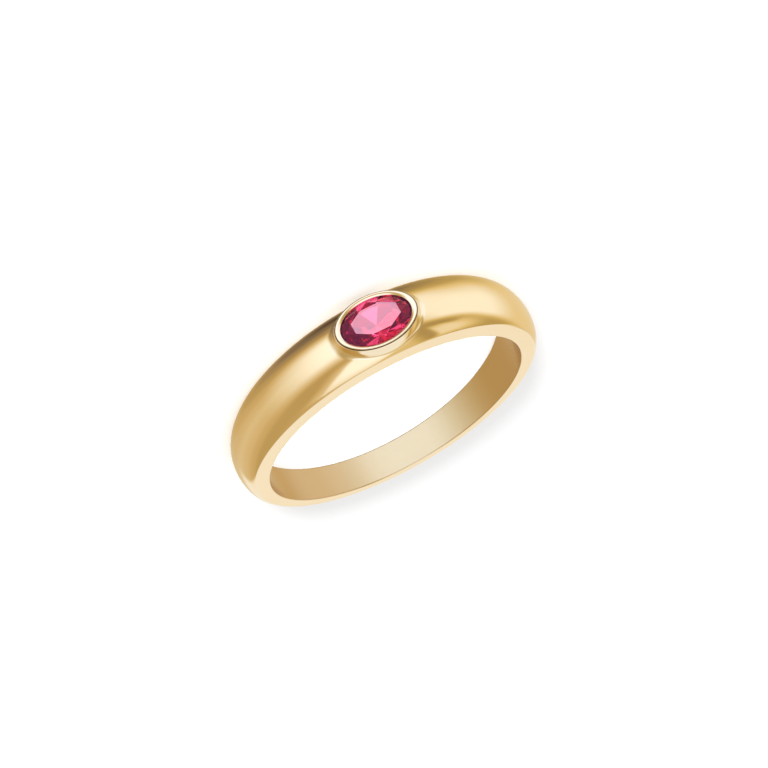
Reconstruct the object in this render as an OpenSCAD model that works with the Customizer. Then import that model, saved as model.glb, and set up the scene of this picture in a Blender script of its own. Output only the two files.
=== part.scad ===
// Ruby ring: an oval cut stone in a rubbed-over collar, on a domed band that tapers to the back.
// Millimetres, +Z up. The ring lies on one flat side face, with the stone towards -Y.
// The origin is under the middle of its box, on the surface that it lies on.

/* [Band] */
// Inner diameter
inner_d = 17; // [16:0.25:20]
// Width of the band between its edges, under the stone
front_w = 4.1; // [4:0.05:4.6]
// Width of the band between its edges, at the back
back_w = 2; // [1.6:0.05:3]
// Thickness of the flat side face under the stone
front_edge_t = 1.2; // [1.1:0.05:1.35]
// Thickness of the flat side face at the back
back_edge_t = 0.6; // [0.5:0.05:1]
// Thickness of the band on its crest, under the stone
front_crest_t = 2.05; // [1.95:0.05:2.3]
// Thickness of the band on its crest, at the back
back_crest_t = 0.9; // [0.8:0.05:1.4]
// How much of a half ellipse the dome's profile takes
dome_fullness = 0.95; // [0.6:0.05:0.95]

/* [Collar] */
// Length of the collar across its lip, along the band
collar_l = 5.17; // [5.1:0.01:5.3]
// Width of the collar across its lip
collar_w = 3.4; // [3.35:0.01:3.5]
// Length of the opening inside the lip
opening_l = 4.47; // [4.4:0.01:4.5]
// Width of the opening inside the lip
opening_w = 2.86; // [2.8:0.01:2.9]
// Height of the lip above the band's crest
lip_rise = 0.38; // [0.36:0.01:0.45]
// Radius of the rounded lip
lip_r = 0.16; // [0.15:0.01:0.18]
// How far the collar's wall leans out, for each millimetre down
wall_draft = 0.15; // [0:0.05:0.2]

/* [Stone] */
// Length of the stone at its girdle
stone_l = 4.8; // [4.75:0.01:4.85]
// Width of the stone at its girdle
stone_w = 3.15; // [3.1:0.01:3.2]
// Length of the table
table_l = 3.2; // [2.8:0.1:3.4]
// Width of the table
table_w = 1.84; // [1.6:0.02:2]
// Height of the crown, from the girdle to the table
crown_h = 0.53; // [0.48:0.01:0.54]
// Height of the girdle
girdle_h = 0.06; // [0.04:0.01:0.08]
// Depth of the pavilion, from the girdle to the culet
pavilion_h = 1.3; // [1.1:0.05:1.4]
// How far the girdle lies under the top of the lip
girdle_sink = 0.31; // [0.3:0.01:0.33]
// Gap between the stone and its seat
seat_gap = 0.03; // [0.025:0.005:0.035]

/* [Hidden] */

// Places round the band, and across its profile, where the dome is worked out
stations = 96;
profile_steps = 20;
// The dome's blank runs this far past the side faces, as a share of its half width
overrun = 1.03;
// The blank's inner wall lies this far inside the bore, and its sides this far past the side faces
blank_inset = 0.8;
blank_side = 0.4;
// Facets round the stone: 8 mains, with a corner of the girdle on each and between each pair
mains = 8;
main_step = 360 / mains;
// Heights of the corners between two mains, as a share of the crown and of the pavilion
star_level = 0.65;
half_level = 0.72;
// The facets between two mains are steeper than the mains, so the lip's underside is too
under_factor = 1.4;
// Width of the hole under the stone, as a share of the seat's width
hole_share = 0.58;
// The collar's wall starts inside the band, at this share of the side face's thickness
collar_root = 0.85;
// Steps of the rounded lip, and where its arc ends inside the opening
lip_steps = 8;
lip_end_angle = 160;
// How far a cut runs past what it cuts
past = 1;

inner_r = inner_d / 2;

// Angle a is measured round the bore from the stone's direction, -Y
function between(front, back, a) = (front + back) / 2 + (front - back) / 2 * cos(a);
function edge_r(a) = inner_r + between(front_edge_t, back_edge_t, a);
function crest_r(a) = inner_r + between(front_crest_t, back_crest_t, a);

// Each side face is a plane that leans towards the back
side_slope = (front_w - back_w) / 2 / (edge_r(0) + edge_r(180));
mid_half_w = front_w / 2 - side_slope * edge_r(0);
function half_w(y) = mid_half_w - side_slope * y;
lean = atan(side_slope);

// Heights from the bore's axis, along the stone's direction
lip_top = crest_r(0) + lip_rise;
girdle_top = lip_top - girdle_sink;
girdle_base = girdle_top - girdle_h;
table_top = girdle_top + crown_h;
culet = girdle_base - pavilion_h;
collar_base = inner_r + front_edge_t * collar_root;

// Half of the box along Y, to the table in front and to the band's crest behind
table_corner_w = table_w / 2 * sin(1.5 * main_step);
front_reach = table_top * cos(lean) + table_corner_w * sin(lean);
back_reach = crest_r(180) * cos(lean);

// Stands the ring, made upright on its bore's axis, on its lower side face
module lay_down() {
    translate([0, (front_reach - back_reach) / 2, mid_half_w * cos(lean)])
        rotate([-lean, 0, 0]) children();
}

// Turns a height along Z into a height along the stone's direction
module face_front() {
    rotate([90, 0, 0]) children();
}

// Rise of the dome from its edge, 0, to its crest, 1, at the share u of its half width
edge_drop = sqrt(1 - pow(dome_fullness, 2));
function rise(u) = (sqrt(1 - pow(dome_fullness * u, 2)) - edge_drop) / (1 - edge_drop);
function dome_r(a, u) = edge_r(a) + (crest_r(a) - edge_r(a)) * rise(u);
function edge_half_w(a) = half_w(-edge_r(a) * cos(a));
function around(r, a, z) = [r * sin(a), -r * cos(a), z];

// Steps across the profile lie closer together near the edges, where it curves most
shares = [for (i = [0:profile_steps]) -overrun * cos(180 * i / profile_steps)];

// Closed outline of the blank at one angle: across the dome, then back inside the bore
function blank_outline(a) = let (side = edge_half_w(a) * overrun) concat(
    [for (u = shares) around(dome_r(a, u), a, u * edge_half_w(a))],
    [
        around(edge_r(a), a, side + blank_side),
        around(inner_r - blank_inset, a, side + blank_side),
        around(inner_r - blank_inset, a, -side - blank_side),
        around(edge_r(a), a, -side - blank_side)
    ]
);

module dome_blank() {
    outline_n = len(shares) + 4;
    points = [for (i = [0:stations - 1]) each blank_outline(360 * i / stations)];
    function at(i, j) = (i % stations) * outline_n + j % outline_n;
    faces = [
        for (i = [0:stations - 1], j = [0:outline_n - 1])
            each [
                [at(i, j), at(i, j + 1), at(i + 1, j + 1)],
                [at(i, j), at(i + 1, j + 1), at(i + 1, j)]
            ]
    ];
    polyhedron(points, faces);
}

// The space between the two side faces
module side_faces() {
    reach = edge_r(0) + past;
    translate([-reach, 0, 0])
        rotate([90, 0, 90])
            linear_extrude(2 * reach)
                polygon([
                    [-reach, -half_w(-reach)],
                    [reach, -half_w(reach)],
                    [reach, half_w(reach)],
                    [-reach, half_w(-reach)]
                ]);
}

// Half section of an oval solid, given on its short side and stretched to its length
module oval_solid(length, width) {
    scale([length / width, 1, 1]) rotate_extrude($fn = 64) children();
}

// Wall and rounded lip of the collar, before the seat is cut
module collar_blank() {
    lip_centre = [collar_w / 2 - lip_r, lip_top - lip_r];
    base_r = collar_w / 2 + wall_draft * (lip_centre.y - collar_base);
    lip = [
        for (i = [0:lip_steps])
            let (t = lip_end_angle * i / lip_steps) lip_centre + lip_r * [cos(t), sin(t)]
    ];
    face_front()
        oval_solid(collar_l, collar_w)
            polygon(concat(
                [[0, collar_base], [base_r, collar_base]],
                lip,
                [[0, lip[lip_steps].y]]
            ));
}

// Room for the stone: under the lip, round the girdle, on the ledge, and open to the bore
module seat() {
    girdle_r = stone_w / 2 + seat_gap;
    under_slope = under_factor * crown_h / ((stone_w - table_w) / 2);
    lip_under = girdle_top + seat_gap + under_slope * (girdle_r - opening_w / 2);
    cone_h = pavilion_h * girdle_r / (stone_w / 2);
    ledge_h = cone_h * (1 - hole_share);
    face_front() {
        oval_solid(stone_l + 2 * seat_gap, stone_w + 2 * seat_gap)
            polygon([
                [0, inner_r - past],
                [girdle_r * hole_share, inner_r - past],
                [girdle_r * hole_share, girdle_base - seat_gap - ledge_h],
                [girdle_r, girdle_base - seat_gap],
                [girdle_r, girdle_top + seat_gap],
                [opening_w / 2, lip_under],
                [0, lip_under]
            ]);
        translate([0, 0, girdle_top])
            oval_solid(opening_l, opening_w) square([opening_w / 2, past]);
    }
}

module band() {
    color("goldenrod")
        lay_down()
            difference() {
                union() {
                    intersection() {
                        dome_blank();
                        side_faces();
                    }
                    collar_blank();
                }
                cylinder(h = 2 * front_w, d = inner_d, center = true, $fn = 128);
                seat();
            }
}

// Corner on an oval at angle t, and the direction of the oval there
function oval_point(length, width, t, z) = [length / 2 * cos(t), width / 2 * sin(t), z];
function oval_tangent(length, width, t) = [-length / 2 * sin(t), width / 2 * cos(t), 0];

// Plane of the main facet that holds the girdle's tangent at angle t and the point tip
function main_plane(t, z, tip) =
    let (
        corner = oval_point(stone_l, stone_w, t, z),
        normal = cross(oval_tangent(stone_l, stone_w, t), tip - corner)
    )
    [normal, normal * corner];

// Point where two planes meet at the height z
function meet(p, q, z) =
    let (up = [0, 0, 1])
    (p[1] * cross(q[0], up) + q[1] * cross(up, p[0]) + z * cross(p[0], q[0])) / (up * cross(p[0], q[0]));

module ruby() {
    angles = [for (k = [0:mains - 1]) main_step * (k + 0.5)];
    crown_planes = [for (t = angles) main_plane(t, girdle_top, oval_point(table_l, table_w, t, table_top))];
    pavilion_planes = [for (t = angles) main_plane(t, girdle_base, [0, 0, culet])];
    function next(k) = (k + 1) % mains;

    table = [for (t = angles) oval_point(table_l, table_w, t, table_top)];
    stars = [
        for (k = [0:mains - 1])
            meet(crown_planes[k], crown_planes[next(k)], girdle_top + crown_h * star_level)
    ];
    halves = [
        for (k = [0:mains - 1])
            meet(pavilion_planes[k], pavilion_planes[next(k)], girdle_base - pavilion_h * half_level)
    ];
    girdle_angles = [for (i = [0:2 * mains - 1]) main_step / 2 * (i + 1)];
    upper = [for (t = girdle_angles) oval_point(stone_l, stone_w, t, girdle_top)];
    lower = [for (t = girdle_angles) oval_point(stone_l, stone_w, t, girdle_base)];

    // Where each kind of corner starts in the list of points
    star0 = mains;
    upper0 = star0 + mains;
    lower0 = upper0 + 2 * mains;
    half0 = lower0 + 2 * mains;
    tip = half0 + mains;
    function corner(start, i) = start + (i + 2 * mains) % (2 * mains);
    function one(start, k) = start + (k + mains) % mains;

    faces = concat(
        [[for (k = [mains - 1:-1:0]) k]],
        [for (k = [0:mains - 1]) [one(0, k), one(0, k + 1), one(star0, k)]],
        [for (k = [0:mains - 1]) [one(0, k), one(star0, k), corner(upper0, 2 * k), one(star0, k - 1)]],
        [for (k = [0:mains - 1]) [one(star0, k), corner(upper0, 2 * k + 1), corner(upper0, 2 * k)]],
        [for (k = [0:mains - 1]) [one(star0, k), corner(upper0, 2 * k + 2), corner(upper0, 2 * k + 1)]],
        [
            for (i = [0:2 * mains - 1])
                [corner(upper0, i), corner(upper0, i + 1), corner(lower0, i + 1), corner(lower0, i)]
        ],
        [for (k = [0:mains - 1]) [one(half0, k), corner(lower0, 2 * k), corner(lower0, 2 * k + 1)]],
        [for (k = [0:mains - 1]) [one(half0, k), corner(lower0, 2 * k + 1), corner(lower0, 2 * k + 2)]],
        [for (k = [0:mains - 1]) [tip, one(half0, k - 1), corner(lower0, 2 * k), one(half0, k)]]
    );
    color("crimson")
        lay_down()
            face_front()
                polyhedron(concat(table, stars, upper, lower, halves, [[0, 0, culet]]), faces);
}

band();
ruby();
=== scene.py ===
"""A domed gold finger ring with an oval ruby in a raised collar, lying on its side on a pale floor."""

import math

import bmesh
import bpy
from mathutils import Matrix, Vector

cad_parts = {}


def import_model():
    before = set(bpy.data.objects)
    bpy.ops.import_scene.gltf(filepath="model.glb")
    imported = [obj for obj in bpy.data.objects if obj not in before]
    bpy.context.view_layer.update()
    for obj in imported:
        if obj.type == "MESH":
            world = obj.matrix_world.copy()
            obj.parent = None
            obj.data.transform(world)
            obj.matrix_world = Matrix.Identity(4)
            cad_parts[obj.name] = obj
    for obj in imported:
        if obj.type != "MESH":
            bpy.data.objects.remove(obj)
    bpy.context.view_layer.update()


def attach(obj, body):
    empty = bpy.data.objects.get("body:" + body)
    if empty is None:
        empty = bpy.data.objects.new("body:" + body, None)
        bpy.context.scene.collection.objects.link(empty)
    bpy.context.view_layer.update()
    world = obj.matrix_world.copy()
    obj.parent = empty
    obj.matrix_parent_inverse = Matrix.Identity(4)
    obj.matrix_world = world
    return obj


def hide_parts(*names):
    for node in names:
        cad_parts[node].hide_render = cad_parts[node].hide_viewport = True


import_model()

# All lengths below are millimetres in the ring's own frame, until place() turns them into metres.
# X runs along the band at the stone, -Y is the way the stone looks, and Z is the bore's axis.
MM = 0.001

# Band. FRONT is at the stone and BACK opposite it. EDGE is at the side faces and CREST on top of the dome.
BORE_R = 8.5
FRONT_WIDTH = 4.1
BACK_WIDTH = 2.0
FRONT_EDGE_T = 1.2
BACK_EDGE_T = 0.6
FRONT_CREST_T = 2.05
BACK_CREST_T = 0.9
# How much of a half ellipse the dome's section takes, and how far that ellipse has dropped at the edge
DOME_FULLNESS = 0.95
EDGE_DROP = math.sqrt(1 - DOME_FULLNESS ** 2)
# The side faces come closer towards the back, so the laid ring is tilted by LEAN and moved by LAID_SHIFT
SIDE_SLOPE = (FRONT_WIDTH - BACK_WIDTH) / 2 / (2 * BORE_R + FRONT_EDGE_T + BACK_EDGE_T)
MID_HALF_W = FRONT_WIDTH / 2 - SIDE_SLOPE * (BORE_R + FRONT_EDGE_T)
LEAN = math.atan(SIDE_SLOPE)
LAID_SHIFT = Vector((0, 0.8973, 1.5059))
# Reach of the rounding of the band's edges and of the hole's rim, and how much of it the dome takes
CORNER_R = 0.07
DOME_CORNER_SHARE = 0.6

# Collar. B is a half width on the oval's short side, H a height from the bore's axis, and RATIO an
# oval's length over its width.
COLLAR_RATIO = 5.17 / 3.4
SEAT_RATIO = 4.86 / 3.21
OPENING_RATIO = 4.47 / 2.86
COLLAR_BASE_B = 1.85
COLLAR_BASE_H = 9.52
# The fillet at the collar's foot, at the oval's ends and sides, and the most it takes of what is there
FOOT_FILLET_END = 0.42
FOOT_FILLET_SIDE = 0.10
FILLET_OF_REACH = 0.45
FILLET_OF_WALL = 0.6
# Top of the wall: it is rounded over SHOULDER_ROUNDING, and dips a little before the groove
SHOULDER_B = 1.74
SHOULDER_H = 10.83
SHOULDER_ROUNDING = 0.04
SHOULDER_DIP = 0.005
# The groove between wall and lip, with the small offsets that shape its two edges and its bottom
GROOVE_W = 0.04
GROOVE_H = 10.74
GROOVE_EDGE_W = 0.004
GROOVE_EDGE_DROP = 0.02
GROOVE_DRAFT = 0.008
GROOVE_CORNER_W = 0.002
GROOVE_CORNER_H = 0.03
# The lip: its flank, its crest and its inner edge
LIP_B = 1.68
LIP_FLANK_H = 10.86
LIP_TOP_B = 1.63
LIP_TOP_H = 10.93
LIP_EDGE_B = 1.455
LIP_EDGE_H = 10.862
# How far the crest has gone from the collar's oval to the opening's, and how far its curve runs on level
CREST_TO_OPENING = 0.2
CREST_RUN = 0.07
# The opening's corner, and where the lip's underside starts
OPENING_B = 1.43
OPENING_DROP = 0.014
UNDER_H = 10.848
UNDER_START_W = 0.012
UNDER_START_DROP = 0.0136
UNDER_SLOPE = 1.1328
# The seat. Its ledge and hole lie 0.08 lower than the solid model's, so that this stone clears them.
GIRDLE_B = 1.605
LEDGE_H = 10.45
LEDGE_SLOPE = 0.825
LEDGE_MIDDLE_W = 0.3
SEAT_CORNER = 0.02
SEAT_CORNER_RISE = 0.0227
SEAT_CORNER_DROP = 0.01
HOLE_B = 0.931
HOLE_H = 9.894
HOLE_CORNER = 0.04
HOLE_DEPTH = 0.5

# Stone
STONE_L = 4.8
STONE_W = 3.15
TABLE_L = 3.2
TABLE_W = 1.84
GIRDLE_TOP_H = 10.62
GIRDLE_BASE_H = 10.56
TABLE_H = 11.15
PAVILION_DEPTH = 1.30
MAINS = 8
STAR_LEVEL = 0.65
# The blank that the facets are cut from: its sides, how far it runs past the tip, and the cuts' tolerance
GIRDLE_SIDES = 64
BLANK_PAST_TIP = 0.2
CUT_TOLERANCE = 1e-6

# Mesh counts. The block is the part of the band that the collar stands on.
BLOCK_ANGLE = math.radians(27)
BLOCK_CELLS = 88
REST_CELLS = 264
HALF_CELLS = 20
CORNER_CELLS = 4
ROUNDING_CELLS = 5
LIP_CELLS = 8
FILLET_CELLS = 8
SOLVER_STEPS = 30
SIDE_SHARES = (0, 0.06, 0.5, 0.94, 1)
DOME_SHARES = (0.06, 0.14, 0.24, 0.35, 0.46, 0.57, 0.68, 0.78, 0.86, 0.92, 0.96, 0.985, 1)
WALL_SHARES = (0.06, 0.35, 0.7, 0.94)
BORE_SHARES = (0.05, 0.15, 0.3, 0.5, 0.7, 0.85, 0.95)
# Points of the band's half section, counted from the end of the bore, that lie on its two rounded edges
EDGE_POINTS = (1, 2, 3, CORNER_CELLS + 5, CORNER_CELLS + 6, CORNER_CELLS + 7)
# Points of the collar's section, counted from the top of its wall: in the groove, on the lip and just
# under it, and the first past the lip's top
GROOVE_POINTS = range(7, 11)
LIP_POINTS = range(11, 34)
LIP_TOP_POINTS_END = 27
# Rows of the collar before that section starts, and those of its fillet, wall and shoulder
ROWS_BEFORE_SECTION = len(DOME_SHARES) + FILLET_CELLS + len(WALL_SHARES)
WALL_ROWS = range(len(DOME_SHARES), ROWS_BEFORE_SECTION + GROOVE_POINTS.start)

# Wear, painted as a pale sheen, as shares of the rubbed gold's colour, on the band's edges and on the
# collar's wall
EDGE_WEAR_AND_SHEEN = 0.5
WALL_WEAR_AND_SHEEN = 0.85
# The lip's top takes the groove's painted shade from this half width outwards, up to this share at the
# groove
LIP_SHADE_B = 1.52
LIP_SHADE = 0.8


def place(point):
    """Takes a point of the ring's own frame to the frame it lies in, in metres."""
    laid = Matrix.Rotation(-LEAN, 3, "X") @ Vector(point) + LAID_SHIFT
    return laid * MM


def between(front, back, angle):
    """A size that goes from front, at the stone, to back, opposite it."""
    return (front + back) / 2 + (front - back) / 2 * math.cos(angle)


def edge_r(angle):
    return BORE_R + between(FRONT_EDGE_T, BACK_EDGE_T, angle)


def crest_r(angle):
    return BORE_R + between(FRONT_CREST_T, BACK_CREST_T, angle)


def half_width(y):
    return MID_HALF_W - SIDE_SLOPE * y


def dome_r(angle, across):
    """The dome's radius, with across from -1 at one edge to 1 at the other."""
    rise = (math.sqrt(1 - (DOME_FULLNESS * across) ** 2) - EDGE_DROP) / (1 - EDGE_DROP)
    return edge_r(angle) + (crest_r(angle) - edge_r(angle)) * rise


def dome_point(angle, across):
    """Radius and height of a point of the dome's section."""
    edge = edge_r(angle)
    return dome_r(angle, across), across * half_width(-edge * math.cos(angle))


def bezier(start, corner, end, steps):
    """Points that round a corner, without its two ends."""
    found = []
    for k in range(1, steps):
        t = k / steps
        weights = ((1 - t) ** 2, 2 * t * (1 - t), t * t)
        found.append(tuple(sum(w * p[i] for w, p in zip(weights, (start, corner, end)))
                           for i in range(len(start))))
    return found


def lerp(a, b, t):
    return tuple(p + (q - p) * t for p, q in zip(a, b))


def towards(a, b, length):
    """The point that lies length away from a, on the way to b."""
    return lerp(a, b, length / math.dist(a, b))


def half_profile(angle):
    """The upper half of the band's section, as (radius, height), from the bore's middle to the crest."""
    bore_corner = (BORE_R, half_width(-BORE_R * math.cos(angle)))
    edge_corner = dome_point(angle, 1)
    last_across = 1 - CORNER_R / half_width(-edge_r(angle) * math.cos(angle)) * DOME_CORNER_SHARE
    bore_end = towards(bore_corner, (BORE_R, 0), CORNER_R)
    side_start = towards(bore_corner, edge_corner, CORNER_R)
    side_end = towards(edge_corner, bore_corner, CORNER_R)
    dome_end = dome_point(angle, last_across)
    points = []
    for k in range(HALF_CELLS + 1):
        points.append(lerp((BORE_R, 0), bore_end, math.sin(k / HALF_CELLS * math.pi / 2)))
    points += bezier(bore_end, bore_corner, side_start, CORNER_CELLS)
    for share in SIDE_SHARES:
        points.append(lerp(side_start, side_end, share))
    points += bezier(side_end, edge_corner, dome_end, CORNER_CELLS)
    for k in range(HALF_CELLS + 1):
        points.append(dome_point(angle, last_across * math.cos(k / HALF_CELLS * math.pi / 2)))
    return points


def full_profile(angle):
    """The band's whole section, as (radius, height), once round from the bore's middle."""
    upper = half_profile(angle)
    return upper + [(radius, -height) for radius, height in reversed(upper[1:-1])]


def ring_point(angle, radius, height):
    return (radius * math.sin(angle), -radius * math.cos(angle), height)


def dome_height(x, z):
    """How far from the bore's axis plane the dome lies, above the place (x, z) of the stone's plan."""
    height = FRONT_CREST_T + BORE_R
    for _ in range(SOLVER_STEPS):
        angle = math.atan2(x, height)
        across = z / half_width(-edge_r(angle) * math.cos(angle))
        across = max(-1.0, min(1.0, across))
        radius = dome_r(angle, across)
        height = math.sqrt(radius ** 2 - x ** 2)
    return height


def bore_height(x):
    return math.sqrt(BORE_R ** 2 - x ** 2)


def oval(direction, half_w, ratio):
    """A point of an oval in the stone's plan."""
    return (half_w * ratio * math.cos(direction), half_w * math.sin(direction))


def collar_half_w(height):
    """The drafted wall's half width at a height."""
    slope = (COLLAR_BASE_B - SHOULDER_B) / (SHOULDER_H - COLLAR_BASE_H)
    return COLLAR_BASE_B - slope * (height - COLLAR_BASE_H)


def foot_height(direction):
    """The height at which the collar's wall meets the dome."""
    height = FRONT_EDGE_T + BORE_R
    for _ in range(SOLVER_STEPS):
        x, z = oval(direction, collar_half_w(height), COLLAR_RATIO)
        height = dome_height(x, z)
    return height


def shoulder_path():
    """The collar's section from the top of its wall to the bottom of the groove."""
    groove_b = LIP_B + GROOVE_W
    wall_top = (SHOULDER_B, SHOULDER_H - SHOULDER_ROUNDING, COLLAR_RATIO)
    corner = (SHOULDER_B, SHOULDER_H, COLLAR_RATIO)
    inner_end = (groove_b + GROOVE_EDGE_W, SHOULDER_H - SHOULDER_DIP, COLLAR_RATIO)
    groove_edge = (groove_b, SHOULDER_H - GROOVE_EDGE_DROP, COLLAR_RATIO)
    groove_bottom = (groove_b - GROOVE_DRAFT, GROOVE_H, COLLAR_RATIO)
    rounding = bezier(wall_top, corner, inner_end, ROUNDING_CELLS)
    return [wall_top] + rounding + [inner_end, groove_edge, groove_bottom]


def lip_path():
    """The lip's section from the bottom of the groove to the start of its underside."""
    crest_ratio = COLLAR_RATIO + (OPENING_RATIO - COLLAR_RATIO) * CREST_TO_OPENING
    groove_bottom = (LIP_B + GROOVE_CORNER_W, GROOVE_H, COLLAR_RATIO)
    flank_start = (LIP_B, GROOVE_H + GROOVE_CORNER_H, COLLAR_RATIO)
    flank = (LIP_B, LIP_FLANK_H, COLLAR_RATIO)
    outer_corner = (LIP_B, LIP_TOP_H, COLLAR_RATIO)
    crest = (LIP_TOP_B, LIP_TOP_H, crest_ratio)
    inner_run = (LIP_TOP_B - CREST_RUN, LIP_TOP_H, crest_ratio)
    inner_top = (LIP_EDGE_B, LIP_EDGE_H, OPENING_RATIO)
    opening_corner = (OPENING_B, LIP_EDGE_H - OPENING_DROP, OPENING_RATIO)
    under = (OPENING_B + UNDER_START_W, UNDER_H - UNDER_START_DROP, OPENING_RATIO)
    path = [groove_bottom, flank_start, flank]
    path += bezier(flank, outer_corner, crest, LIP_CELLS) + [crest]
    path += bezier(crest, inner_run, inner_top, LIP_CELLS) + [inner_top]
    path += bezier(inner_top, opening_corner, under, ROUNDING_CELLS) + [under]
    return path


def seat_path():
    """The seat's section from under the lip, round the girdle and over the ledge, into the hole."""
    girdle_top_h = UNDER_H - UNDER_SLOPE * (GIRDLE_B - OPENING_B)
    return [
        (GIRDLE_B - SEAT_CORNER, girdle_top_h + SEAT_CORNER_RISE, SEAT_RATIO),
        (GIRDLE_B, girdle_top_h - SEAT_CORNER_DROP, SEAT_RATIO),
        (GIRDLE_B, LEDGE_H + SEAT_CORNER, SEAT_RATIO),
        (GIRDLE_B - SEAT_CORNER, LEDGE_H - LEDGE_SLOPE * SEAT_CORNER, SEAT_RATIO),
        (HOLE_B + LEDGE_MIDDLE_W, HOLE_H + LEDGE_SLOPE * LEDGE_MIDDLE_W, SEAT_RATIO),
        (HOLE_B + HOLE_CORNER, HOLE_H + LEDGE_SLOPE * HOLE_CORNER, SEAT_RATIO),
        (HOLE_B, HOLE_H - HOLE_CORNER, SEAT_RATIO),
        (HOLE_B, HOLE_H - HOLE_DEPTH, SEAT_RATIO),
    ]


def collar_column(rim_point, bore_point, direction, path):
    """Points from the dome's rim up the collar, along its section, and down the hole to the bore."""
    column = []
    height = foot_height(direction)
    foot_plan = oval(direction, collar_half_w(height), COLLAR_RATIO)
    reach = math.dist(foot_plan, rim_point)
    fillet = FOOT_FILLET_SIDE + (FOOT_FILLET_END - FOOT_FILLET_SIDE) * math.cos(direction) ** 4
    fillet = min(fillet, reach * FILLET_OF_REACH)
    dome_plan = towards(foot_plan, rim_point, fillet)
    for share in DOME_SHARES:
        x, z = lerp(rim_point, dome_plan, share)
        column.append((x, -dome_height(x, z), z))
    rise = min(fillet, (SHOULDER_H - height) * FILLET_OF_WALL)
    wall_x, wall_z = oval(direction, collar_half_w(height + rise), COLLAR_RATIO)
    wall_start = (wall_x, -height - rise, wall_z)
    foot = (foot_plan[0], -height, foot_plan[1])
    column += bezier(column[-1], foot, wall_start, FILLET_CELLS)
    column.append(wall_start)
    wall_end_x, wall_end_z = oval(direction, path[0][0], COLLAR_RATIO)
    wall_end = (wall_end_x, -path[0][1], wall_end_z)
    for share in WALL_SHARES:
        column.append(lerp(wall_start, wall_end, share))
    for half_w, level, ratio in path:
        x, z = oval(direction, half_w, ratio)
        column.append((x, -level, z))
    hole_x, hole_z = oval(direction, HOLE_B, SEAT_RATIO)
    hole_end = (hole_x, -bore_height(hole_x) - CORNER_R, hole_z)
    hole_corner = (hole_x, -bore_height(hole_x), hole_z)
    bore_plan = towards((hole_x, hole_z), bore_point, CORNER_R)
    bore_start = (bore_plan[0], -bore_height(bore_plan[0]), bore_plan[1])
    column.append(hole_end)
    column += bezier(hole_end, hole_corner, bore_start, CORNER_CELLS)
    column.append(bore_start)
    for share in BORE_SHARES:
        x, z = lerp(bore_plan, bore_point, share)
        column.append((x, -bore_height(x), z))
    return column


def row_painted_shade_and_wear(row, path):
    """How much a row of the collar has of the painted shade of groove and lip, and of the rubbed gold with
    its painted pale sheen.
    """
    point = row - ROWS_BEFORE_SECTION
    # Painted shade: dark in the groove, and on the lip's top towards its outer edge
    painted_shade = 1.0 if point in GROOVE_POINTS else 0.0
    # Lip and wall: rubbed gold with a painted pale sheen
    wear_and_sheen = 1.0 if point in LIP_POINTS else 0.0
    if GROOVE_POINTS.stop <= point < LIP_TOP_POINTS_END:
        painted_shade = LIP_SHADE * max(0.0, (path[point][0] - LIP_SHADE_B) / (LIP_B - LIP_SHADE_B))
    if row in WALL_ROWS:
        wear_and_sheen = WALL_WEAR_AND_SHEEN
    return painted_shade, wear_and_sheen


def collar_rows(rim, bore_rim):
    """Rows of points round the collar, from the dome to the bore, each with its shares of painted shade and
    of rubbed gold with a painted sheen.
    """
    path = shoulder_path() + lip_path() + seat_path()
    columns = []
    for rim_point, bore_point in zip(rim, bore_rim):
        direction = math.atan2(rim_point[1], rim_point[0] / COLLAR_RATIO)
        columns.append(collar_column(rim_point, bore_point, direction, path))
    return [(points, *row_painted_shade_and_wear(row, path)) for row, points in enumerate(zip(*columns))]


def station_angles():
    """Angles round the band, which lie closer together in the collar's block."""
    angles = [-BLOCK_ANGLE + 2 * BLOCK_ANGLE * k / BLOCK_CELLS for k in range(BLOCK_CELLS)]
    rest = 2 * math.pi - 2 * BLOCK_ANGLE
    return angles + [BLOCK_ANGLE + rest * k / REST_CELLS for k in range(REST_CELLS)]


def block_outline():
    """Places once round the collar's block, as (station, step across the dome)."""
    across = 2 * HALF_CELLS
    outline = [(i, 0) for i in range(BLOCK_CELLS + 1)]
    outline += [(BLOCK_CELLS, k) for k in range(1, across + 1)]
    outline += [(i, across) for i in range(BLOCK_CELLS - 1, -1, -1)]
    outline += [(0, k) for k in range(across - 1, 0, -1)]
    return outline


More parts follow.
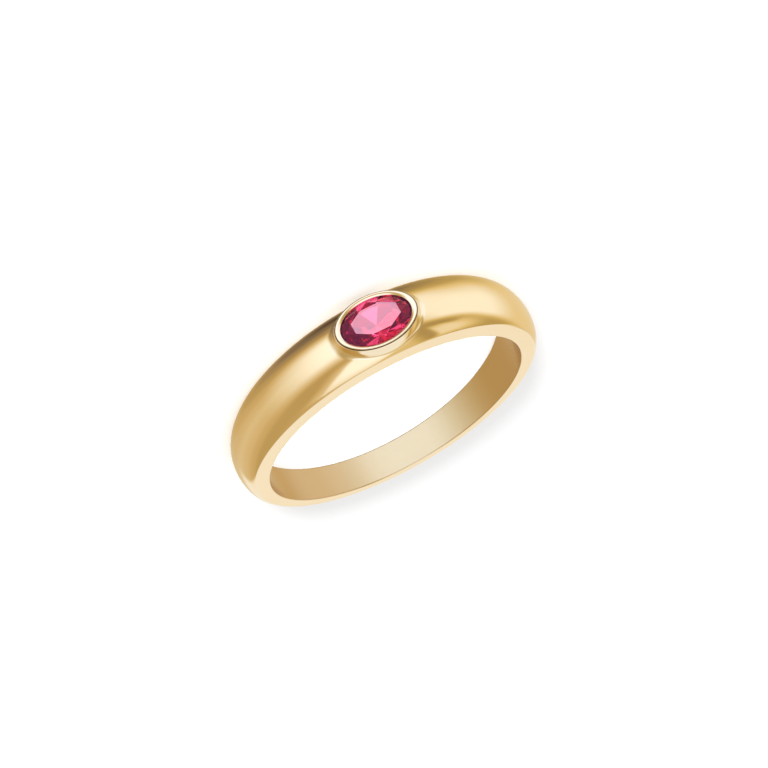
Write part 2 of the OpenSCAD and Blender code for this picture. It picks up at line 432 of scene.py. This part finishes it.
def band_mesh():
    """The whole band with its collar, as one closed skin of quads."""
    mesh = bmesh.new()
    painted_shade = mesh.verts.layers.float.new("painted_shade")
    wear_and_sheen = mesh.verts.layers.float.new("wear_and_sheen")
    angles = station_angles()
    sections = [full_profile(angle) for angle in angles]
    stations = len(angles)
    around = len(sections[0])
    top = around // 2
    made = {}

    def vertex(i, j):
        key = (i % stations, j % around)
        if key not in made:
            radius, height = sections[key[0]][key[1]]
            made[key] = mesh.verts.new(place(ring_point(angles[key[0]], radius, height)))
            corner_place = min(key[1], around - key[1]) - HALF_CELLS
            # The rounded edges get rubbed gold with a painted pale sheen
            made[key][wear_and_sheen] = EDGE_WEAR_AND_SHEEN if corner_place in EDGE_POINTS else 0.0
        return made[key]

    def in_block(i, j):
        dome = top - HALF_CELLS <= j < top + HALF_CELLS
        bore = j < HALF_CELLS or j >= around - HALF_CELLS
        return i < BLOCK_CELLS and (dome or bore)

    def plan_point(i, j):
        radius, height = sections[i][j % around]
        return (radius * math.sin(angles[i]), height)

    for i in range(stations):
        for j in range(around):
            if not in_block(i, j):
                mesh.faces.new((vertex(i, j), vertex(i, j + 1), vertex(i + 1, j + 1), vertex(i + 1, j)))

    outline = block_outline()
    skin = [[vertex(i, top - HALF_CELLS + k) for i, k in outline]]
    inner = [vertex(i, HALF_CELLS - k) for i, k in outline]
    rim = [plan_point(i, top - HALF_CELLS + k) for i, k in outline]
    bore_rim = [plan_point(i, HALF_CELLS - k) for i, k in outline]
    for points, row_painted_shade, row_wear_and_sheen in collar_rows(rim, bore_rim):
        skin.append([mesh.verts.new(place(point)) for point in points])
        for made_vertex in skin[-1]:
            made_vertex[painted_shade] = row_painted_shade
            made_vertex[wear_and_sheen] = row_wear_and_sheen
    skin.append(inner)
    for near, far in zip(skin, skin[1:]):
        for k in range(len(outline)):
            after = (k + 1) % len(outline)
            mesh.faces.new((near[k], near[after], far[after], far[k]))
    bmesh.ops.recalc_face_normals(mesh, faces=mesh.faces)
    return mesh


def oval_place(angle, share, height):
    """A point of the stone's outline, drawn in to a share of its size."""
    x = STONE_L / 2 * share * math.cos(angle)
    z = STONE_W / 2 * share * math.sin(angle)
    return Vector((x, -height, z))


def plane_through(a, b, c):
    """The plane through three points, as (point, normal), with its normal pointing out of the stone."""
    normal = (b - a).cross(c - a).normalized()
    middle = Vector((0, -(GIRDLE_TOP_H + GIRDLE_BASE_H) / 2, 0))
    return (a, normal if normal.dot(a - middle) > 0 else -normal)


def cone_plane(angle, height, depth, up):
    """The plane that touches the outline at height, and would close at depth above or under it."""
    normal = Vector((
        2 / STONE_L * math.cos(angle),
        (-1 if up else 1) / depth,
        2 / STONE_W * math.sin(angle),
    )).normalized()
    return (oval_place(angle, 1, height), normal)


def meet(plane_a, plane_b, height):
    """Where two planes and a level meet."""
    rows = Matrix((plane_a[1], plane_b[1], Vector((0, 1, 0))))
    return rows.inverted() @ Vector((plane_a[1].dot(plane_a[0]), plane_b[1].dot(plane_b[0]), -height))


def crown_planes():
    """Mains, stars and girdle facets of the crown."""
    crown_h = TABLE_H - GIRDLE_TOP_H
    mains = []
    corners = []
    for k in range(MAINS):
        angle = 2 * math.pi * (k + 0.5) / MAINS
        share = TABLE_L / STONE_L * math.cos(angle) ** 2 + TABLE_W / STONE_W * math.sin(angle) ** 2
        mains.append(cone_plane(angle, GIRDLE_TOP_H, crown_h / (1 - share), True))
        corners.append(Vector((TABLE_L / 2 * math.cos(angle), -TABLE_H, TABLE_W / 2 * math.sin(angle))))
    planes = list(mains)
    for k in range(MAINS):
        star = meet(mains[k], mains[(k + 1) % MAINS], GIRDLE_TOP_H + crown_h * STAR_LEVEL)
        planes.append(plane_through(star, corners[k], corners[(k + 1) % MAINS]))
        for turn in (0.5, 1):
            start = oval_place(2 * math.pi * (k + turn) / MAINS, 1, GIRDLE_TOP_H)
            end = oval_place(2 * math.pi * (k + turn + 0.5) / MAINS, 1, GIRDLE_TOP_H)
            planes.append(plane_through(star, start, end))
    return planes


def pavilion_planes():
    """The long facets from the girdle down to the tip."""
    angles = [2 * math.pi * k / MAINS for k in range(MAINS)]
    return [cone_plane(angle, GIRDLE_BASE_H, PAVILION_DEPTH, False) for angle in angles]


def oval_ring(mesh, height):
    """Vertices once round the stone's outline at a height."""
    angles = [2 * math.pi * k / GIRDLE_SIDES for k in range(GIRDLE_SIDES)]
    return [mesh.verts.new(oval_place(angle, 1, height)) for angle in angles]


def ruby_mesh():
    """The stone, ground from an oval blank one facet at a time."""
    mesh = bmesh.new()
    low = oval_ring(mesh, GIRDLE_BASE_H - PAVILION_DEPTH - BLANK_PAST_TIP)
    high = oval_ring(mesh, TABLE_H)
    mesh.faces.new(low)
    mesh.faces.new(list(reversed(high)))
    for k in range(GIRDLE_SIDES):
        after = (k + 1) % GIRDLE_SIDES
        mesh.faces.new((low[k], high[k], high[after], low[after]))
    for point, normal in crown_planes() + pavilion_planes():
        cut = bmesh.ops.bisect_plane(
            mesh,
            geom=mesh.verts[:] + mesh.edges[:] + mesh.faces[:],
            dist=CUT_TOLERANCE,
            plane_co=point,
            plane_no=normal,
            clear_outer=True,
        )
        edges = [item for item in cut["geom_cut"] if isinstance(item, bmesh.types.BMEdge)]
        if len(edges) > 2:
            bmesh.ops.contextual_create(mesh, geom=edges)
    bmesh.ops.recalc_face_normals(mesh, faces=mesh.faces)
    for vertex in mesh.verts:
        vertex.co = place(vertex.co)
    return mesh


def table_likeness(polygon):
    """Large for the stone's table: its area, counted by how far it faces the front."""
    return -polygon.normal.y * polygon.area


def new_piece(name, mesh, material, replaced):
    """Makes a riding piece of a finished mesh, in place of a node of the solid model."""
    data = bpy.data.meshes.new(name)
    mesh.to_mesh(data)
    mesh.free()
    data.materials.append(material)
    piece = bpy.data.objects.new(name, data)
    bpy.context.scene.collection.objects.link(piece)
    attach(piece, "root")
    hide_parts(replaced)
    return piece


# Gold, as linear colours: the polish, from deep to pale; the satin bore, darkened as painted shade in its
# middle and more at its sides;
# the painted shade in the collar's groove; and the rubbed gold, painted paler as a sheen on edges, wall and
# lip
GOLD_DEEP = (0.93, 0.755, 0.465)
GOLD_PALE = (0.95, 0.785, 0.50)
BORE_GOLD_PAINTED_DARKER = (0.70, 0.60, 0.38)
BORE_SIDE_PAINTED_SHADE = (0.62, 0.42, 0.19)
GROOVE_PAINTED_SHADE = (0.30, 0.21, 0.11)
WORN_GOLD_SHEEN = (0.93, 0.82, 0.61)
# Where along X the bore's painted shade is lightest, and how far from there it turns into the darker
# painted shade of its sides
BORE_SHADE_LIGHTEST_X = -1.4
BORE_SIDE_SHADE_REACH = (1.0, 7.0)
# How far outside the bore's wall its finish fades into the polish
BORE_FADE = (0.02, 0.06)
# Noises, in cycles to a millimetre. The satin's lines have theirs to a radian round the bore, and to a
# millimetre across it.
TONE_SCALE = 0.16
MARKS_SCALE = 3.0
UNEVENNESS_SCALE = 0.55
SATIN_LINES_ROUND = 3.0
SATIN_LINES_ACROSS = 16.0
# The part of a noise's range that is used
NOISE_LOW = 0.3
NOISE_HIGH = 0.7
POLISH_ROUGHNESS = (0.07, 0.12)
SATIN_ROUGHNESS = (0.17, 0.24)
# Depths, in millimetres, of the polish's unevenness and of the satin's lines
UNEVENNESS = 0.006
SATIN_LINE_DEPTH = 0.0015


def math_node(tree, operation, *values):
    """A math node whose inputs are numbers or sockets."""
    node = tree.nodes.new("ShaderNodeMath")
    node.operation = operation
    for socket, value in zip(node.inputs, values):
        if isinstance(value, (int, float)):
            socket.default_value = value
        else:
            tree.links.new(value, socket)
    return node.outputs[0]


def map_range(tree, value, low, high, to_low=0.0, to_high=1.0, kind="LINEAR"):
    node = tree.nodes.new("ShaderNodeMapRange")
    node.interpolation_type = kind
    tree.links.new(value, node.inputs["Value"])
    node.inputs["From Min"].default_value = low
    node.inputs["From Max"].default_value = high
    node.inputs["To Min"].default_value = to_low
    node.inputs["To Max"].default_value = to_high
    return node.outputs["Result"]


def ramp(tree, value, stops, kind="EASE"):
    """A colour ramp with its stops given as (place from 0 to 1, grey or colour)."""
    node = tree.nodes.new("ShaderNodeValToRGB")
    tree.links.new(value, node.inputs["Fac"])
    node.color_ramp.interpolation = kind
    elements = node.color_ramp.elements
    while len(elements) < len(stops):
        elements.new(1.0)
    for element, (position, tone) in zip(elements, stops):
        element.position = position
        element.color = (*tone, 1) if isinstance(tone, tuple) else (tone, tone, tone, 1)
    return node.outputs["Color"]


def mix_colour(tree, share, low, high):
    """A colour between two colours or sockets."""
    node = tree.nodes.new("ShaderNodeMix")
    node.data_type = "RGBA"
    tree.links.new(share, node.inputs["Factor"])
    for name, value in (("A", low), ("B", high)):
        if isinstance(value, tuple):
            node.inputs[name].default_value = (*value, 1)
        else:
            tree.links.new(value, node.inputs[name])
    return node.outputs["Result"]


def mix_number(tree, share, low, high, label=""):
    """A number between two numbers or sockets."""
    node = tree.nodes.new("ShaderNodeMix")
    node.label = label
    node.data_type = "FLOAT"
    tree.links.new(share, node.inputs["Factor"])
    for name, value in (("A", low), ("B", high)):
        if isinstance(value, (int, float)):
            node.inputs[name].default_value = value
        else:
            tree.links.new(value, node.inputs[name])
    return node.outputs["Result"]


def noise(tree, vector, scale, detail):
    node = tree.nodes.new("ShaderNodeTexNoise")
    node.inputs["Scale"].default_value = scale
    node.inputs["Detail"].default_value = detail
    tree.links.new(vector, node.inputs["Vector"])
    return node.outputs["Fac"]


def bump(tree, height, depth, normal=None):
    """A normal that is tilted by a height from 0 to 1, with its depth in millimetres."""
    node = tree.nodes.new("ShaderNodeBump")
    node.inputs["Distance"].default_value = depth * MM
    tree.links.new(height, node.inputs["Height"])
    if normal is not None:
        tree.links.new(normal, node.inputs["Normal"])
    return node.outputs["Normal"]


def attribute(tree, name):
    """A share that is kept on the mesh's vertices."""
    node = tree.nodes.new("ShaderNodeAttribute")
    node.attribute_name = name
    return node.outputs["Fac"]


def new_material(name):
    material = bpy.data.materials.new(name)
    material.use_nodes = True
    nodes = material.node_tree.nodes
    nodes.clear()
    output = nodes.new("ShaderNodeOutputMaterial")
    shader = nodes.new("ShaderNodeBsdfPrincipled")
    material.node_tree.links.new(shader.outputs["BSDF"], output.inputs["Surface"])
    return material, shader, output


def ring_coordinates(tree):
    """The place on the ring in the ring's own frame, in millimetres."""
    node = tree.nodes.new("ShaderNodeMapping")
    node.vector_type = "TEXTURE"
    node.inputs["Location"].default_value = LAID_SHIFT * MM
    node.inputs["Rotation"].default_value = (-LEAN, 0, 0)
    node.inputs["Scale"].default_value = (MM, MM, MM)
    tree.links.new(tree.nodes.new("ShaderNodeTexCoord").outputs["Object"], node.inputs["Vector"])
    return node.outputs["Vector"]


def gold_colour(tree, vector, x, bore):
    """Faint changes of tone, painted shade that darkens the bore and more so at its sides, rubbed edges
    with a painted pale sheen, and painted shade in the groove and on the lip's top.
    """
    tone = noise(tree, vector, TONE_SCALE, 2)
    polished = ramp(tree, tone, ((NOISE_LOW, GOLD_DEEP), (NOISE_HIGH, GOLD_PALE)))
    from_middle = math_node(tree, "ABSOLUTE", math_node(tree, "SUBTRACT", x, BORE_SHADE_LIGHTEST_X))
    # Painted shade: the satin bore is darker than the polish, and darker still towards its sides
    bore_side_shade = map_range(tree, from_middle, *BORE_SIDE_SHADE_REACH, 0.0, 1.0, "SMOOTHSTEP")
    satin = mix_colour(tree, bore_side_shade, BORE_GOLD_PAINTED_DARKER, BORE_SIDE_PAINTED_SHADE)
    coloured = mix_colour(tree, bore, polished, satin)
    # Painted shade in the groove and on the outer part of the lip's top
    coloured = mix_colour(tree, attribute(tree, "painted_shade"), coloured, GROOVE_PAINTED_SHADE)
    # Rubbed gold on edges, wall and lip, painted paler as a sheen
    return mix_colour(tree, attribute(tree, "wear_and_sheen"), coloured, WORN_GOLD_SHEEN)


def gold_roughness(tree, vector, bore):
    """Fine marks on the polish, and a duller satin in the bore."""
    marks = noise(tree, vector, MARKS_SCALE, 5)
    polish = map_range(tree, marks, NOISE_LOW, NOISE_HIGH, *POLISH_ROUGHNESS)
    satin = map_range(tree, marks, NOISE_LOW, NOISE_HIGH, *SATIN_ROUGHNESS)
    return mix_number(tree, bore, polish, satin)


def gold_normal(tree, vector, x, y, z, bore):
    """A slight unevenness all over, and lines round the bore."""
    uneven = bump(tree, noise(tree, vector, UNEVENNESS_SCALE, 1), UNEVENNESS)
    turned = tree.nodes.new("ShaderNodeCombineXYZ")
    round_bore = math_node(tree, "MULTIPLY", math_node(tree, "ARCTAN2", x, y), SATIN_LINES_ROUND)
    tree.links.new(round_bore, turned.inputs["X"])
    tree.links.new(math_node(tree, "MULTIPLY", z, SATIN_LINES_ACROSS), turned.inputs["Z"])
    lines = noise(tree, turned.outputs["Vector"], 1.0, 3)
    return bump(tree, math_node(tree, "MULTIPLY", lines, bore), SATIN_LINE_DEPTH, uneven)


def gold_material():
    """Polished yellow gold with a satin bore."""
    material, shader = new_material("polished_gold")[:2]
    tree = material.node_tree
    shader.inputs["Metallic"].default_value = 1.0
    vector = ring_coordinates(tree)
    split = tree.nodes.new("ShaderNodeSeparateXYZ")
    tree.links.new(vector, split.inputs["Vector"])
    x, y, z = split.outputs["X"], split.outputs["Y"], split.outputs["Z"]
    squares = math_node(tree, "ADD", math_node(tree, "POWER", x, 2), math_node(tree, "POWER", y, 2))
    radius = math_node(tree, "SQRT", squares)
    bore = map_range(tree, radius, BORE_R + BORE_FADE[0], BORE_R + BORE_FADE[1], 1.0, 0.0)
    tree.links.new(gold_colour(tree, vector, x, bore), shader.inputs["Base Color"])
    tree.links.new(gold_roughness(tree, vector, bore), shader.inputs["Roughness"])
    tree.links.new(gold_normal(tree, vector, x, y, z, bore), shader.inputs["Normal"])
    return material


# Ruby. Its facets are tinted red where they reflect, which keeps the dark ones maroon, and its body takes
# up light by the depth crossed, with a density per metre.
RUBY_IOR = 1.76
RUBY_ROUGHNESS = 0.02
RUBY_TINT = (1.0, 0.23, 0.60)
RUBY_REFLECTION_TINT = (1.0, 0.06, 0.07)
RUBY_TRANSMISSION = 0.97
RUBY_BODY_COLOUR = (0.98, 0.02, 0.12)
RUBY_BODY_DENSITY = 340
# Its table lets less light through, and has a coat that mirrors more than ruby does
TABLE_TINT = (0.97, 0.25, 0.5)
TABLE_TRANSMISSION = 0.85
TABLE_COAT_IOR = 2.5
TABLE_COAT_ROUGHNESS = 0.03


def ruby_material(name):
    """Clear ruby that takes its red from the depth that light crosses."""
    material, shader, output = new_material(name)
    shader.inputs["Base Color"].default_value = (*RUBY_TINT, 1)
    shader.inputs["Roughness"].default_value = RUBY_ROUGHNESS
    shader.inputs["IOR"].default_value = RUBY_IOR
    shader.inputs["Transmission Weight"].default_value = RUBY_TRANSMISSION
    shader.inputs["Specular Tint"].default_value = (*RUBY_REFLECTION_TINT, 1)
    body = material.node_tree.nodes.new("ShaderNodeVolumeAbsorption")
    body.inputs["Color"].default_value = (*RUBY_BODY_COLOUR, 1)
    body.inputs["Density"].default_value = RUBY_BODY_DENSITY
    material.node_tree.links.new(body.outputs["Volume"], output.inputs["Volume"])
    return material, shader


def ruby_table_material():
    """The stone's table, which mirrors the studio more brightly than the other facets."""
    material, shader = ruby_material("ruby_table")
    shader.inputs["Base Color"].default_value = (*TABLE_TINT, 1)
    shader.inputs["Transmission Weight"].default_value = TABLE_TRANSMISSION
    shader.inputs["Coat Weight"].default_value = 1.0
    shader.inputs["Coat IOR"].default_value = TABLE_COAT_IOR
    shader.inputs["Coat Roughness"].default_value = TABLE_COAT_ROUGHNESS
    return material


FLOOR_WHITE = 0.9
FLOOR_HALF_M = 1.5
FLOOR_CELLS = 8


def floor():
    """The plain pale floor. The gold and the stone don't mirror it."""
    mesh = bmesh.new()
    bmesh.ops.create_grid(mesh, x_segments=FLOOR_CELLS, y_segments=FLOOR_CELLS, size=FLOOR_HALF_M)
    data = bpy.data.meshes.new("floor")
    mesh.to_mesh(data)
    mesh.free()
    piece = bpy.data.objects.new("floor", data)
    bpy.context.scene.collection.objects.link(piece)
    material, shader, _ = new_material("floor_white")
    shader.inputs["Base Color"].default_value = (FLOOR_WHITE, FLOOR_WHITE, FLOOR_WHITE, 1)
    shader.inputs["Roughness"].default_value = 1.0
    shader.inputs["Specular IOR Level"].default_value = 0.0
    data.materials.append(material)
    piece.visible_glossy = False


# Camera: the photograph's viewing angle, found from the ring's ovals
CAMERA_AZIMUTH = math.radians(9.98)
CAMERA_ELEVATION = math.radians(23.36)
CAMERA_ROLL = math.radians(149.78)
CAMERA_DISTANCE = 361.0
PIXELS_PER_MM = 16.655
FRAME_PIXELS = 768
CENTRE_PIXEL = (384.7, 399.2)
SENSOR_WIDTH = 36
CLIP_START_M = 0.01
CLIP_END_M = 10


def camera():
    """A long lens that looks at the ring from the stone's side."""
    azimuth, elevation, roll = CAMERA_AZIMUTH, CAMERA_ELEVATION, CAMERA_ROLL
    back = Vector((
        math.cos(elevation) * math.sin(azimuth),
        -math.cos(elevation) * math.cos(azimuth),
        math.sin(elevation),
    ))
    level_right = Vector((0, 0, 1)).cross(back).normalized()
    level_up = back.cross(level_right)
    right = math.cos(roll) * level_right + math.sin(roll) * level_up
    up = math.cos(roll) * level_up - math.sin(roll) * level_right
    aim_right = (FRAME_PIXELS / 2 - CENTRE_PIXEL[0]) / PIXELS_PER_MM
    aim_up = (CENTRE_PIXEL[1] - FRAME_PIXELS / 2) / PIXELS_PER_MM
    eye = back * CAMERA_DISTANCE
    back = (eye - right * aim_right - up * aim_up).normalized()
    right = up.cross(back).normalized()
    up = back.cross(right)
    laid = Matrix.Rotation(-LEAN, 3, "X")
    data = bpy.data.cameras.new("camera")
    data.sensor_width = SENSOR_WIDTH
    data.lens = PIXELS_PER_MM * CAMERA_DISTANCE / FRAME_PIXELS * data.sensor_width
    data.clip_start = CLIP_START_M
    data.clip_end = CLIP_END_M
    piece = bpy.data.objects.new("camera", data)
    axes = Matrix((laid @ right, laid @ up, laid @ back)).transposed()
    piece.matrix_world = Matrix.Translation(place(eye)) @ axes.to_4x4()
    bpy.context.scene.collection.objects.link(piece)
    bpy.context.scene.camera = piece


# Studio: light tones from the darkest to the brightest, as (brightness, colour).
STUDIO_TONES = (
    (0.05, (0.05, 0.035, 0.025)),
    (0.25, (0.29, 0.22, 0.16)),
    (0.44, (0.54, 0.40, 0.19)),
    (0.55, (0.66, 0.50, 0.27)),
    (0.74, (0.80, 0.69, 0.50)),
    (1.00, (1.00, 0.98, 0.97)),
    (1.25, (1.28, 1.30, 1.50)),
)
# The same for the studio's warmer right side.
RIGHT_TONES = (
    (0.05, (0.05, 0.035, 0.02)),
    (0.25, (0.29, 0.22, 0.13)),
    (0.44, (0.53, 0.40, 0.17)),
    (0.55, (0.64, 0.50, 0.23)),
    (0.74, (0.84, 0.69, 0.40)),
    (1.00, (1.00, 0.98, 0.96)),
    (1.25, (1.28, 1.30, 1.50)),
)
BRIGHTEST = 1.25
# The right side, as an edge of the kind that the panels have
RIGHT_SIDE = ("azimuth", -90, 60, 20)
# Brightness of the studio's walls by elevation, in degrees.
WALL_BY_ELEVATION = (
    (-90, 0.08),
    (-70, 0.22),
    (-60, 0.34),
    (-50, 0.43),
    (-40, 0.53),
    (-30, 0.61),
    (-20, 0.68),
    (-8, 0.62),
    (6, 0.53),
    (20, 0.44),
    (35, 0.44),
    (50, 0.47),
    (62, 0.51),
    (90, 0.60),
)
# Soft panels, laid over each other in turn. Each is as bright as it says where all its edges let it
# show: "azimuth" keeps it within half of a middle, "above" and "below" keep it on one side of an
# elevation, and "near" and "far" within or beyond a radius round a direction (azimuth, elevation).
# The last number of an edge is how soft it is. All are in degrees.
PANELS = (
    ("left card", 1.24, (("azimuth", 0, 58, 38), ("below", 4, 13), ("above", -46, 13))),
    ("left glow", 0.68, (("near", -70, 42, 82, 9), ("above", 22, 8), ("azimuth", 30, 62, 8))),
    ("top glow", 0.68, (("near", -20, 74, 28, 14),)),
    ("left sheet", 0.96, (("near", -70, 42, 72.7, 3.5), ("above", 26, 5), ("azimuth", 30, 62, 8))),
    ("left sheet's bright side", 1.17, (("near", 8, 44, 30, 16), ("near", -70, 42, 72.7, 3.5),
                                        ("above", 26, 5), ("azimuth", 30, 62, 8))),
    ("right wall", 0.78, (("azimuth", -125, 45, 15), ("below", 18, 10), ("above", -36, 14))),
    ("right card", 1.10, (("azimuth", -74, 34, 16), ("below", 12, 7), ("above", -33, 18))),
    ("upper right card", 0.88, (("near", -68, 45, 22, 14), ("far", 60, 33, 84.5, 1.5))),
    ("dark edge", 0.38, (("near", 60, 33, 84, 2), ("far", 60, 33, 74, 6), ("azimuth", -62, 28, 6),
                         ("above", 16, 6), ("below", 66, 6))),
    ("dark rod", 0.38, (("azimuth", -52, 16, 7), ("below", 27, 4), ("above", 18, 4))),
    ("back left card", 1.00, (("azimuth", -162, 30, 8), ("above", 22, 8), ("below", 70, 8))),
    ("back card", 0.97, (("azimuth", 180, 25, 3), ("above", -19, 5), ("below", 58, 6))),
)
TO_DEGREES = 180 / math.pi


def direction_of(azimuth, elevation):
    """The unit direction at an azimuth, from -Y towards +X, and an elevation, both in degrees."""
    a, e = math.radians(azimuth), math.radians(elevation)
    return (math.cos(e) * math.sin(a), -math.cos(e) * math.cos(a), math.sin(e))


def edge_window(tree, sight, edge):
    """How much one edge of a panel lets show in a direction, from 0 to 1."""
    kind, soft = edge[0], edge[-1]
    if kind == "azimuth":
        turned = math_node(tree, "SUBTRACT", sight["azimuth"], edge[1])
        away = math_node(tree, "ABSOLUTE", math_node(tree, "WRAP", turned, 180, -180))
        return map_range(tree, away, edge[2] - soft, edge[2] + soft, 1.0, 0.0, "SMOOTHSTEP")
    if kind in ("above", "below"):
        ends = (0.0, 1.0) if kind == "above" else (1.0, 0.0)
        return map_range(tree, sight["elevation"], edge[1] - soft, edge[1] + soft, *ends, "SMOOTHSTEP")
    dot = tree.nodes.new("ShaderNodeVectorMath")
    dot.operation = "DOT_PRODUCT"
    tree.links.new(sight["direction"], dot.inputs[0])
    dot.inputs[1].default_value = direction_of(edge[1], edge[2])
    away = math_node(tree, "MULTIPLY", math_node(tree, "ARCCOSINE", dot.outputs["Value"]), TO_DEGREES)
    ends = (1.0, 0.0) if kind == "near" else (0.0, 1.0)
    return map_range(tree, away, edge[3] - soft, edge[3] + soft, *ends, "SMOOTHSTEP")


def sight_line(tree):
    """The direction that is looked in, and its azimuth and elevation in degrees."""
    direction = tree.nodes.new("ShaderNodeTexCoord").outputs["Generated"]
    split = tree.nodes.new("ShaderNodeSeparateXYZ")
    tree.links.new(direction, split.inputs[0])
    front = math_node(tree, "MULTIPLY", split.outputs["Y"], -1.0)
    azimuth = math_node(tree, "ARCTAN2", split.outputs["X"], front)
    elevation = math_node(tree, "ARCSINE", split.outputs["Z"])
    return {
        "direction": direction,
        "azimuth": math_node(tree, "MULTIPLY", azimuth, TO_DEGREES),
        "elevation": math_node(tree, "MULTIPLY", elevation, TO_DEGREES),
    }


def studio_brightness(tree, sight):
    """The walls' brightness in a direction, with the panels laid over them."""
    height = map_range(tree, sight["elevation"], -90, 90)
    stops = [((elevation + 90) / 180, tone) for elevation, tone in WALL_BY_ELEVATION]
    brightness = ramp(tree, height, stops, "EASE")
    for name, panel_brightness, edges in PANELS:
        window = edge_window(tree, sight, edges[0])
        for edge in edges[1:]:
            window = math_node(tree, "MULTIPLY", window, edge_window(tree, sight, edge))
        brightness = mix_number(tree, window, brightness, panel_brightness, name)
    return brightness


def toned(tree, share, tones):
    """The colour that a row of tones gives a share of the greatest brightness."""
    return ramp(tree, share, [(tone / BRIGHTEST, colour) for tone, colour in tones], "LINEAR")


def world():
    """A light tent with soft panels, which the gold and the stone mirror.

    The camera sees it plain white. Matt surfaces see it plain too, and it makes the floor SKY_SHARE bright.
    """
    scene = bpy.context.scene
    scene.world = bpy.data.worlds.new("studio")
    scene.world.use_nodes = True
    tree = scene.world.node_tree
    tree.nodes.clear()
    sight = sight_line(tree)
    share = math_node(tree, "DIVIDE", studio_brightness(tree, sight), BRIGHTEST)
    on_right = edge_window(tree, sight, RIGHT_SIDE)
    tinted = mix_colour(tree, on_right, toned(tree, share, STUDIO_TONES), toned(tree, share, RIGHT_TONES))
    light_path = tree.nodes.new("ShaderNodeLightPath")
    camera_ray = light_path.outputs["Is Camera Ray"]
    plain = math_node(tree, "MAXIMUM", camera_ray, light_path.outputs["Is Diffuse Ray"])
    sky = SKY_SHARE / FLOOR_WHITE
    plain_sky = mix_colour(tree, camera_ray, (sky, sky, sky), (1.0, 1.0, 1.0))
    back = tree.nodes.new("ShaderNodeBackground")
    output = tree.nodes.new("ShaderNodeOutputWorld")
    tree.links.new(mix_colour(tree, plain, tinted, plain_sky), back.inputs["Color"])
    tree.links.new(back.outputs[0], output.inputs[0])


# Floor's light. A SHARE is how bright it alone makes the floor, a WAY is an azimuth and an elevation in
# degrees, lengths are metres, and a spread is in degrees. The bore's lamp is a narrow beam from straight
# above, which keeps the floor inside the ring white.
SKY_SHARE = 0.86
FRONT_LAMP_SHARE = 0.42
FRONT_LAMP_WAY = (12, 12)
FRONT_LAMP_DISTANCE = 0.70
FRONT_LAMP_SIZE = 0.26
FRONT_LAMP_SPREAD = 180
BORE_LAMP_SHARE = 0.75
BORE_LAMP_WAY = (0, 90)
BORE_LAMP_DISTANCE = 0.12
BORE_LAMP_SIZE = 0.0172
BORE_LAMP_SPREAD = 2


def floor_lamp(number, way_angles, distance, size, spread, energy):
    """A round lamp that lights matt surfaces only. The camera, mirrors and clear parts don't see it."""
    data = bpy.data.lights.new("floor_light_%d" % number, "AREA")
    data.shape = "DISK"
    data.size = size
    data.spread = math.radians(spread)
    data.energy = energy
    lamp = bpy.data.objects.new(data.name, data)
    way = Vector(direction_of(*way_angles))
    lamp.location = place((0, 0, 0)) + way * distance
    lamp.rotation_mode = "QUATERNION"
    lamp.rotation_quaternion = way.to_track_quat("Z", "Y")
    lamp.visible_camera = False
    lamp.visible_glossy = False
    lamp.visible_transmission = False
    bpy.context.scene.collection.objects.link(lamp)


def floor_lights():
    """A soft lamp in front of the ring, for its shadow, and the bore's lamp."""
    slant = math.sin(math.radians(FRONT_LAMP_WAY[1]))
    energy = FRONT_LAMP_SHARE / FLOOR_WHITE * math.pi ** 2 * FRONT_LAMP_DISTANCE ** 2 / slant
    floor_lamp(0, FRONT_LAMP_WAY, FRONT_LAMP_DISTANCE, FRONT_LAMP_SIZE, FRONT_LAMP_SPREAD, energy)
    energy = BORE_LAMP_SHARE / FLOOR_WHITE * math.pi ** 2 * (BORE_LAMP_SIZE / 2) ** 2
    floor_lamp(1, BORE_LAMP_WAY, BORE_LAMP_DISTANCE, BORE_LAMP_SIZE, BORE_LAMP_SPREAD, energy)


def main():
    bpy.context.scene.view_settings.view_transform = "Standard"
    camera()
    world()
    floor()
    floor_lights()
    new_piece("gold_band", band_mesh(), gold_material(), "band").data.shade_smooth()
    ruby = new_piece("cut_ruby", ruby_mesh(), ruby_material("clear_ruby")[0], "ruby")
    ruby.data.materials.append(ruby_table_material())
    max(ruby.data.polygons, key=table_likeness).material_index = 1


main()
